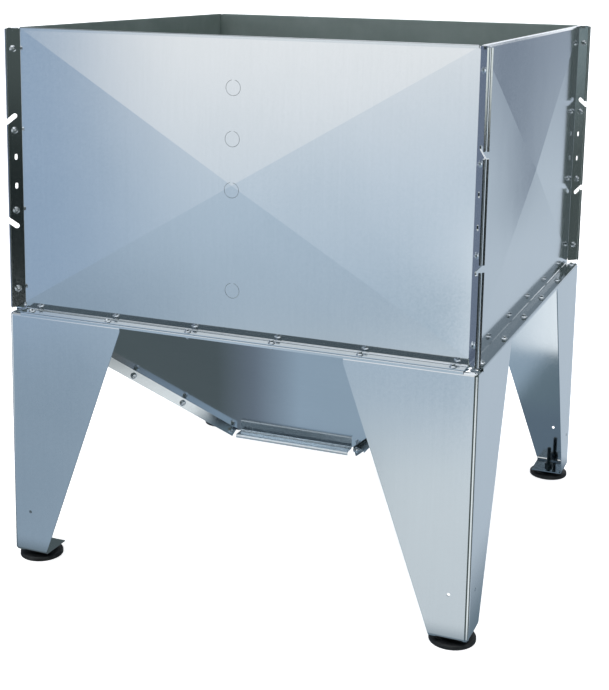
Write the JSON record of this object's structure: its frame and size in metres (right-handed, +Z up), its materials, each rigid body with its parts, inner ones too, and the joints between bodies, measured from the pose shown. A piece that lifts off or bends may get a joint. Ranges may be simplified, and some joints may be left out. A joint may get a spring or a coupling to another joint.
{
  "type": "pellet silo",
  "caption": "Open-topped sheet-metal pellet silo: cross-broken box with bolted corner fins over a sloping hopper with a flanged outlet, on tapered folded legs with levelling feet.",
  "frame": {"origin": "on the floor, under the middle of the silo", "axes": "+Z up, +X to the right along the front wall, -Y out of the front wall with the knock-outs"},
  "size_m": [1.0164, 0.9984, 1.139],
  "materials": {
    "galvanised_sheet": "bright galvanised sheet with a soft blue-grey mirror sheen",
    "black_rubber": "matt black moulded pad",
    "zinc_plated_steel": "zinc-plated threaded steel, darker than the sheet"
  },
  "bodies": {
    "root": {"wall_front": "galvanised_sheet", "wall_right": "galvanised_sheet", "wall_back": "galvanised_sheet", "wall_left": "galvanised_sheet", "hopper_front": "galvanised_sheet", "hopper_right": "galvanised_sheet", "hopper_back": "galvanised_sheet", "hopper_left": "galvanised_sheet", "leg_front_left": "galvanised_sheet", "leg_front_right": "galvanised_sheet", "leg_back_right": "galvanised_sheet", "leg_back_left": "galvanised_sheet", "foot_pad_front_left": "black_rubber", "foot_pad_front_right": "black_rubber", "foot_pad_back_right": "black_rubber", "foot_pad_back_left": "black_rubber", "foot_stud_front_left": "zinc_plated_steel", "foot_stud_front_right": "zinc_plated_steel", "foot_stud_back_right": "zinc_plated_steel", "foot_stud_back_left": "zinc_plated_steel", "lock_nut_front_left": "zinc_plated_steel", "lock_nut_front_right": "zinc_plated_steel", "lock_nut_back_right": "zinc_plated_steel", "lock_nut_back_left": "zinc_plated_steel"}
  },
  "joints": []
}
